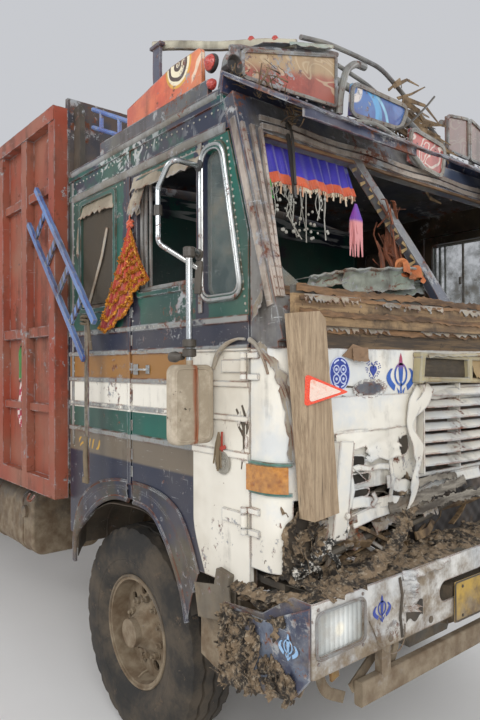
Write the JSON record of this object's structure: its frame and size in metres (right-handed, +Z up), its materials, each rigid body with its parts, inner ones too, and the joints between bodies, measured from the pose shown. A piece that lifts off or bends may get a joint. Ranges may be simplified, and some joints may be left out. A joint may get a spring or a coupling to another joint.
{
  "type": "decorated truck",
  "caption": "Accident-damaged forward-control goods truck with painted cab, crown boards, visor, high slatted cargo body, twin rear wheels, opening doors and steering front wheels.",
  "frame": {"origin": "on the ground under the middle of the truck's length and width", "axes": "+Z up; the front faces -Y and the tail +Y; the driver's (right) side is at -X"},
  "size_m": [2.8, 8.8825, 3.35],
  "materials": {
    "frame_steel": "worn",
    "spring_steel": "rusty",
    "engine_grey": "oily",
    "wheel_paint": "worn",
    "tyre": "dusty",
    "cab_green": "worn",
    "cab_navy": "worn",
    "front_white": "dirty",
    "cargo_red": "worn",
    "board_red": "painted",
    "timber": "weathered",
    "deck_wood": "worn",
    "seat_cover": "worn",
    "cloth": "worn",
    "tinsel": "glitter",
    "glass": "clear",
    "chrome": "dusty",
    "lamp": "dusty",
    "black_plastic": "worn",
    "tank_metal": "dusty"
  },
  "bodies": {
    "truck": {"frame_rails": "frame_steel", "cross_members": "frame_steel", "leaf_springs": "spring_steel", "front_axle": "spring_steel", "rear_axle": "spring_steel", "engine": "engine_grey", "propeller_shaft": "engine_grey", "radiator": "tank_metal", "fuel_tank": "tank_metal", "silencer": "tank_metal", "side_lockers": "tank_metal", "cab_floor": "frame_steel", "engine_cover": "black_plastic", "dashboard": "black_plastic", "cab_sides": "cab_green", "window_boards": "timber", "cab_rear_wall": "cab_green", "cab_roof": "cab_navy", "windscreen_frame": "cab_navy", "front_corners": "front_white", "front_panel": "front_white", "grille": "front_white", "sill_boards": "timber", "bumper": "cab_navy", "lamps": "lamp", "timber_post": "timber", "visor": "cab_navy", "crown_frame": "frame_steel", "crown_boards": "board_red", "seat_bases": "frame_steel", "seat_cushions": "seat_cover", "cab_steps": "frame_steel", "cargo_floor": "deck_wood", "cargo_sides": "cargo_red", "headboard": "cargo_red", "rear_frame": "cargo_red", "tail_frame": "frame_steel", "mudguards": "tank_metal", "ladder": "cab_navy", "valance": "cloth"},
    "knuckle_right": {"knuckle_right": "spring_steel"},
    "knuckle_left": {"knuckle_left": "spring_steel"},
    "track_rod": {"track_rod": "spring_steel"},
    "front_wheel_right": {"front_wheel_right": "wheel_paint", "front_tyre_right": "tyre"},
    "front_wheel_left": {"front_wheel_left": "wheel_paint", "front_tyre_left": "tyre"},
    "rear_wheels_right": {"rear_wheels_right": "wheel_paint", "rear_tyres_right": "tyre"},
    "rear_wheels_left": {"rear_wheels_left": "wheel_paint", "rear_tyres_left": "tyre"},
    "steering_wheel": {"steering_wheel": "black_plastic"},
    "door_right": {"cab_door_right": "cab_green", "quarter_glass_right": "glass", "mirror_right": "chrome", "side_cloth": "tinsel"},
    "door_left": {"cab_door_left": "cab_green", "quarter_glass_left": "glass", "mirror_left": "chrome"},
    "tailgate": {"tailgate": "cargo_red"}
  },
  "joints": [
    {"name": "steer_right", "type": "hinge", "parent": "truck", "child": "knuckle_right", "pos_m": [-0.8, -3.05, 0.52], "axis": [0, 0, 1], "range_deg": [-30, 30]},
    {"name": "steer_left", "type": "hinge", "parent": "truck", "child": "knuckle_left", "pos_m": [0.8, -3.05, 0.52], "axis": [0, 0, 1], "range_deg": [-30, 30]},
    {"name": "track_rod_swing", "type": "hinge", "parent": "knuckle_right", "child": "track_rod", "pos_m": [-0.8, -2.86, 0.39], "axis": [0, 0, 1], "range_deg": [-30, 30]},
    {"name": "steering_wheel_turn", "type": "hinge", "parent": "truck", "child": "steering_wheel", "pos_m": [-0.6, -3.81, 1.89], "axis": [0, 0.3454, 0.9384], "range_deg": [-540, 540]},
    {"name": "front_wheel_right_spin", "type": "hinge", "parent": "knuckle_right", "child": "front_wheel_right", "pos_m": [-0.965, -3.05, 0.52], "axis": [1, 0, 0], "continuous": true},
    {"name": "front_wheel_left_spin", "type": "hinge", "parent": "knuckle_left", "child": "front_wheel_left", "pos_m": [0.965, -3.05, 0.52], "axis": [1, 0, 0], "continuous": true},
    {"name": "rear_wheels_right_spin", "type": "hinge", "parent": "truck", "child": "rear_wheels_right", "pos_m": [-1.022, 1.95, 0.52], "axis": [1, 0, 0], "continuous": true},
    {"name": "rear_wheels_left_spin", "type": "hinge", "parent": "truck", "child": "rear_wheels_left", "pos_m": [1.022, 1.95, 0.52], "axis": [1, 0, 0], "continuous": true},
    {"name": "door_right_hinge", "type": "hinge", "parent": "truck", "child": "door_right", "pos_m": [-1.218, -4.073, 1.65], "axis": [0, 0, 1], "range_deg": [0, 70]},
    {"name": "door_left_hinge", "type": "hinge", "parent": "truck", "child": "door_left", "pos_m": [1.218, -4.073, 1.65], "axis": [0, 0, -1], "range_deg": [0, 70]},
    {"name": "tailgate_hinge", "type": "hinge", "parent": "truck", "child": "tailgate", "pos_m": [0, 4.4085, 1.19], "axis": [-1, 0, 0], "range_deg": [0, 90]}
  ],
  "couplings": [
    {"joint": "steer_left", "follows": "steer_right", "ratio": 1},
    {"joint": "track_rod_swing", "follows": "steer_right", "ratio": -1},
    {"joint": "steering_wheel_turn", "follows": "steer_right", "ratio": 18}
  ]
}
